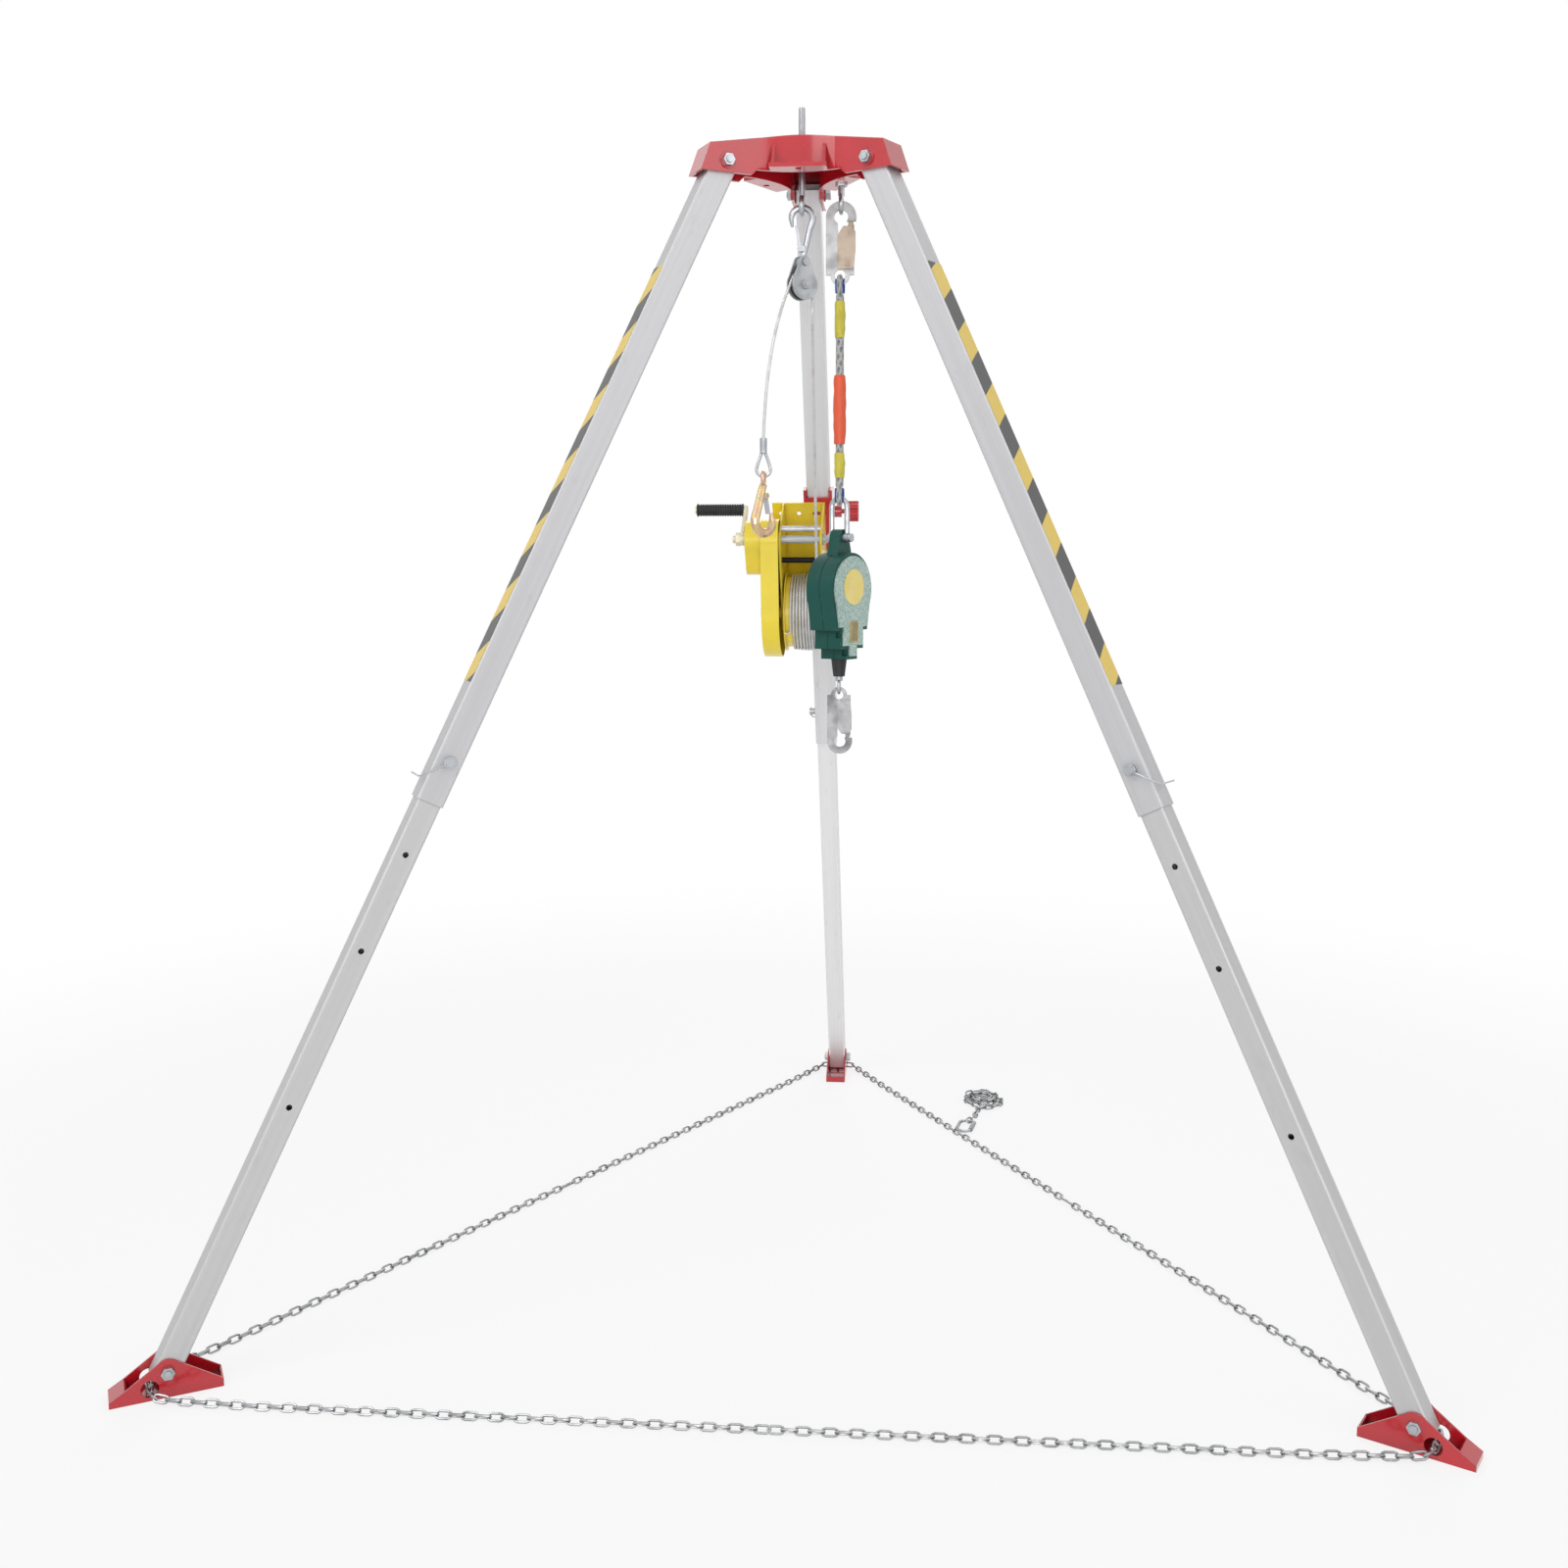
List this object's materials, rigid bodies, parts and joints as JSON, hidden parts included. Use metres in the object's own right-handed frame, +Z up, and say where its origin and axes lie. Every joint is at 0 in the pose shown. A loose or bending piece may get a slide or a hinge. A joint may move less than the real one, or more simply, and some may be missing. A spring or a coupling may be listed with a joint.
{
  "type": "rescue tripod",
  "caption": "Folding rescue tripod with telescopic square legs, red head and feet, leg-mounted winch with pulley rope and hook, and a hanging fall arrester.",
  "frame": {"origin": "on the floor under the middle of the stand's box", "axes": "+Z up, rear leg towards +Y, left and right legs towards -Y"},
  "size_m": [2.1828, 1.8904, 2.175],
  "materials": {
    "red_paint": "gloss red coating",
    "red_plastic": "moulded red",
    "outer_alloy": "satin anodised",
    "inner_alloy": "satin anodised",
    "zinc_steel": "bright zinc plate",
    "chain_steel": "galvanised",
    "gold_steel": "yellow passivated zinc",
    "rope_steel": "galvanised wire rope",
    "yellow_paint": "gloss yellow coating",
    "gear_steel": "oiled steel",
    "grip_black": "ribbed black grip",
    "green_paint": "dark green coating",
    "pale_hammer": "pale green hammered coating",
    "braid": "braided rope",
    "sleeve": "shrink sleeve",
    "gate_metal": "tan plated steel"
  },
  "bodies": {
    "head": {"head_casting": "red_paint", "centre_eye_bolt": "zinc_steel", "anchor_eye_bolt": "zinc_steel", "head_bolt_left": "zinc_steel", "head_bolt_right": "zinc_steel", "head_bolt_rear": "zinc_steel", "pulley_hook": "zinc_steel", "pulley_plates": "zinc_steel", "pulley_axle": "zinc_steel", "winch_rope": "rope_steel", "rope_ferrule": "zinc_steel", "load_hook": "gold_steel"},
    "left_leg": {"outer_tube_left": "outer_alloy"},
    "left_lower_leg": {"inner_tube_left": "inner_alloy", "foot_bolt_left": "zinc_steel", "chain_left": "chain_steel"},
    "left_foot": {"foot_left": "red_paint"},
    "left_pin": {"lock_pin_left": "zinc_steel"},
    "left_bail": {"pin_bail_left": "zinc_steel"},
    "right_leg": {"outer_tube_right": "outer_alloy"},
    "right_lower_leg": {"inner_tube_right": "inner_alloy", "foot_bolt_right": "zinc_steel", "chain_right": "chain_steel"},
    "right_foot": {"foot_right": "red_paint"},
    "right_pin": {"lock_pin_right": "zinc_steel"},
    "right_bail": {"pin_bail_right": "zinc_steel"},
    "rear_leg": {"outer_tube_rear": "outer_alloy", "winch_clamp": "red_paint", "winch_frame": "yellow_paint", "frame_rods": "zinc_steel", "gear_cover": "yellow_paint"},
    "rear_lower_leg": {"inner_tube_rear": "inner_alloy", "foot_bolt_rear": "zinc_steel", "chain_rear": "chain_steel", "spare_chain": "chain_steel", "carabiner": "chain_steel"},
    "rear_foot": {"foot_rear": "red_paint"},
    "rear_pin": {"lock_pin_rear": "zinc_steel"},
    "rear_bail": {"pin_bail_rear": "zinc_steel"},
    "sheave": {"sheave": "gear_steel"},
    "pulley_latch": {"pulley_latch": "zinc_steel"},
    "load_latch": {"load_latch": "zinc_steel"},
    "drum": {"drum": "gear_steel", "drum_rope": "rope_steel"},
    "idler": {"idler_gear": "gear_steel"},
    "crank": {"crank": "zinc_steel"},
    "grip": {"crank_grip": "grip_black"},
    "knob": {"clamp_knob": "red_plastic"},
    "arrester": {"anchor_hook": "zinc_steel", "lanyard_rope": "braid", "lanyard_sleeves": "sleeve", "shackle": "zinc_steel", "arrester_housing": "green_paint", "arrester_cover": "pale_hammer"},
    "anchor_gate": {"anchor_gate": "gate_metal"},
    "cable": {"cable_bumper": "grip_black", "arrester_cable": "rope_steel", "snap_hook": "zinc_steel"},
    "snap_gate": {"snap_gate": "gate_metal"}
  },
  "joints": [
    {"name": "left_leg_fold", "type": "hinge", "parent": "head", "child": "left_leg", "pos_m": [-0.1377, -0.38042, 2.06], "axis": [0.5, -0.866, 0], "range_deg": [0, 12], "deforming": ["chain_left", "chain_right", "chain_rear", "winch_rope"]},
    {"name": "left_leg_slide", "type": "slide", "parent": "left_leg", "child": "left_lower_leg", "axis": [0.3838, 0.2216, 0.8964], "range_m": [0, 0.628], "deforming": ["chain_left", "chain_right", "chain_rear", "lock_pin_left", "lock_pin_right", "lock_pin_rear"]},
    {"name": "left_foot_tilt", "type": "hinge", "parent": "left_lower_leg", "child": "left_foot", "pos_m": [-1.00121, -0.87897, 0.043], "axis": [0.5, -0.866, 0], "range_deg": [-30, 30], "deforming": ["chain_left"]},
    {"name": "left_pin_pull", "type": "slide", "parent": "left_leg", "child": "left_pin", "axis": [0.5, -0.866, 0], "range_m": [0, 0.062]},
    {"name": "left_bail_swing", "type": "hinge", "parent": "left_pin", "child": "left_bail", "pos_m": [-0.56539, -0.66776, 1.02012], "axis": [-0.5, 0.866, 0], "range_deg": [-10, 100]},
    {"name": "right_leg_fold", "type": "hinge", "parent": "head", "child": "right_leg", "pos_m": [0.1377, -0.38042, 2.06], "axis": [0.5, 0.866, 0], "range_deg": [0, 12], "deforming": ["chain_left", "chain_right", "chain_rear", "winch_rope"]},
    {"name": "right_leg_slide", "type": "slide", "parent": "right_leg", "child": "right_lower_leg", "axis": [-0.3838, 0.2216, 0.8964], "range_m": [0, 0.628], "deforming": ["chain_left", "chain_right", "chain_rear", "lock_pin_left", "lock_pin_right", "lock_pin_rear"]},
    {"name": "right_foot_tilt", "type": "hinge", "parent": "right_lower_leg", "child": "right_foot", "pos_m": [1.00121, -0.87897, 0.043], "axis": [0.5, 0.866, 0], "range_deg": [-30, 30], "deforming": ["chain_right"]},
    {"name": "right_pin_pull", "type": "slide", "parent": "right_leg", "child": "right_pin", "axis": [-0.5, -0.866, 0], "range_m": [0, 0.062]},
    {"name": "right_bail_swing", "type": "hinge", "parent": "right_pin", "child": "right_bail", "pos_m": [0.56539, -0.66776, 1.02012], "axis": [-0.5, -0.866, 0], "range_deg": [-10, 100]},
    {"name": "rear_leg_fold", "type": "hinge", "parent": "head", "child": "rear_leg", "pos_m": [0, -0.14192, 2.06], "axis": [-1, 0, 0], "range_deg": [0, 12], "deforming": ["chain_left", "chain_right", "chain_rear", "winch_rope"]},
    {"name": "rear_leg_slide", "type": "slide", "parent": "rear_leg", "child": "rear_lower_leg", "axis": [0, -0.4432, 0.8964], "range_m": [0, 0.628], "deforming": ["chain_left", "chain_right", "chain_rear", "lock_pin_left", "lock_pin_right", "lock_pin_rear"]},
    {"name": "rear_foot_tilt", "type": "hinge", "parent": "rear_lower_leg", "child": "rear_foot", "pos_m": [0, 0.85518, 0.043], "axis": [-1, 0, 0], "range_deg": [-30, 30], "deforming": ["chain_rear"]},
    {"name": "rear_pin_pull", "type": "slide", "parent": "rear_leg", "child": "rear_pin", "axis": [-1, 0, 0], "range_m": [0, 0.062]},
    {"name": "rear_bail_swing", "type": "hinge", "parent": "rear_pin", "child": "rear_bail", "pos_m": [-0.035, 0.37215, 1.02012], "axis": [1, 0, 0], "range_deg": [-10, 100]},
    {"name": "sheave_spin", "type": "hinge", "parent": "head", "child": "sheave", "pos_m": [0, -0.30092, 1.863], "axis": [-0.6428, 0.766, 0], "continuous": true},
    {"name": "pulley_latch_swing", "type": "hinge", "parent": "head", "child": "pulley_latch", "pos_m": [-0.0036, -0.30092, 1.927], "axis": [0, 1, 0], "range_deg": [0, 20], "stiffness_Nm_per_rad": 0.05, "springref_deg": -17.19},
    {"name": "load_latch_swing", "type": "hinge", "parent": "head", "child": "load_latch", "pos_m": [-0.06345, -0.35288, 1.4797], "axis": [-0.766, 0.6428, 0], "range_deg": [0, 20], "stiffness_Nm_per_rad": 0.05, "springref_deg": -17.19},
    {"name": "drum_spin", "type": "hinge", "parent": "rear_leg", "child": "drum", "pos_m": [0, 0.11606, 1.25607], "axis": [1, 0, 0], "continuous": true, "deforming": ["winch_rope"]},
    {"name": "idler_spin", "type": "hinge", "parent": "rear_leg", "child": "idler", "pos_m": [0, 0.07175, 1.34572], "axis": [1, 0, 0], "continuous": true},
    {"name": "crank_spin", "type": "hinge", "parent": "rear_leg", "child": "crank", "pos_m": [0, 0.04073, 1.40847], "axis": [1, 0, 0], "continuous": true},
    {"name": "grip_spin", "type": "hinge", "parent": "crank", "child": "grip", "pos_m": [0, 0.11811, 1.47182], "axis": [1, 0, 0], "continuous": true},
    {"name": "knob_turn", "type": "hinge", "parent": "rear_leg", "child": "knob", "pos_m": [0.072, 0.14968, 1.47014], "axis": [1, 0, 0], "continuous": true},
    {"name": "arrester_swing", "type": "hinge", "parent": "head", "child": "arrester", "pos_m": [0.06928, -0.26092, 1.999], "axis": [0, -1, 0], "range_deg": [-4, 15]},
    {"name": "anchor_gate_swing", "type": "hinge", "parent": "arrester", "child": "anchor_gate", "pos_m": [0.08128, -0.26092, 1.90508], "axis": [0, -1, 0], "range_deg": [0, 11], "stiffness_Nm_per_rad": 0.1, "springref_deg": -17.19},
    {"name": "cable_pull", "type": "slide", "parent": "arrester", "child": "cable", "axis": [0, 0, -1], "range_m": [0, 0.12], "stiffness_N_per_m": 60, "springref_m": -0.12},
    {"name": "snap_gate_swing", "type": "hinge", "parent": "cable", "child": "snap_gate", "pos_m": [0.07918, -0.26092, 1.0927], "axis": [0, 1, 0], "range_deg": [0, 11], "stiffness_Nm_per_rad": 0.1, "springref_deg": -17.19}
  ],
  "couplings": [
    {"joint": "left_leg_fold", "follows": "rear_leg_fold", "ratio": 1},
    {"joint": "left_leg_slide", "follows": "rear_leg_slide", "ratio": 1},
    {"joint": "right_leg_fold", "follows": "rear_leg_fold", "ratio": 1},
    {"joint": "right_leg_slide", "follows": "rear_leg_slide", "ratio": 1},
    {"joint": "idler_spin", "follows": "drum_spin", "ratio": -5.25},
    {"joint": "crank_spin", "follows": "drum_spin", "ratio": 21},
    {"joint": "sheave_spin", "follows": "drum_spin", "ratio": 3.3913}
  ]
}
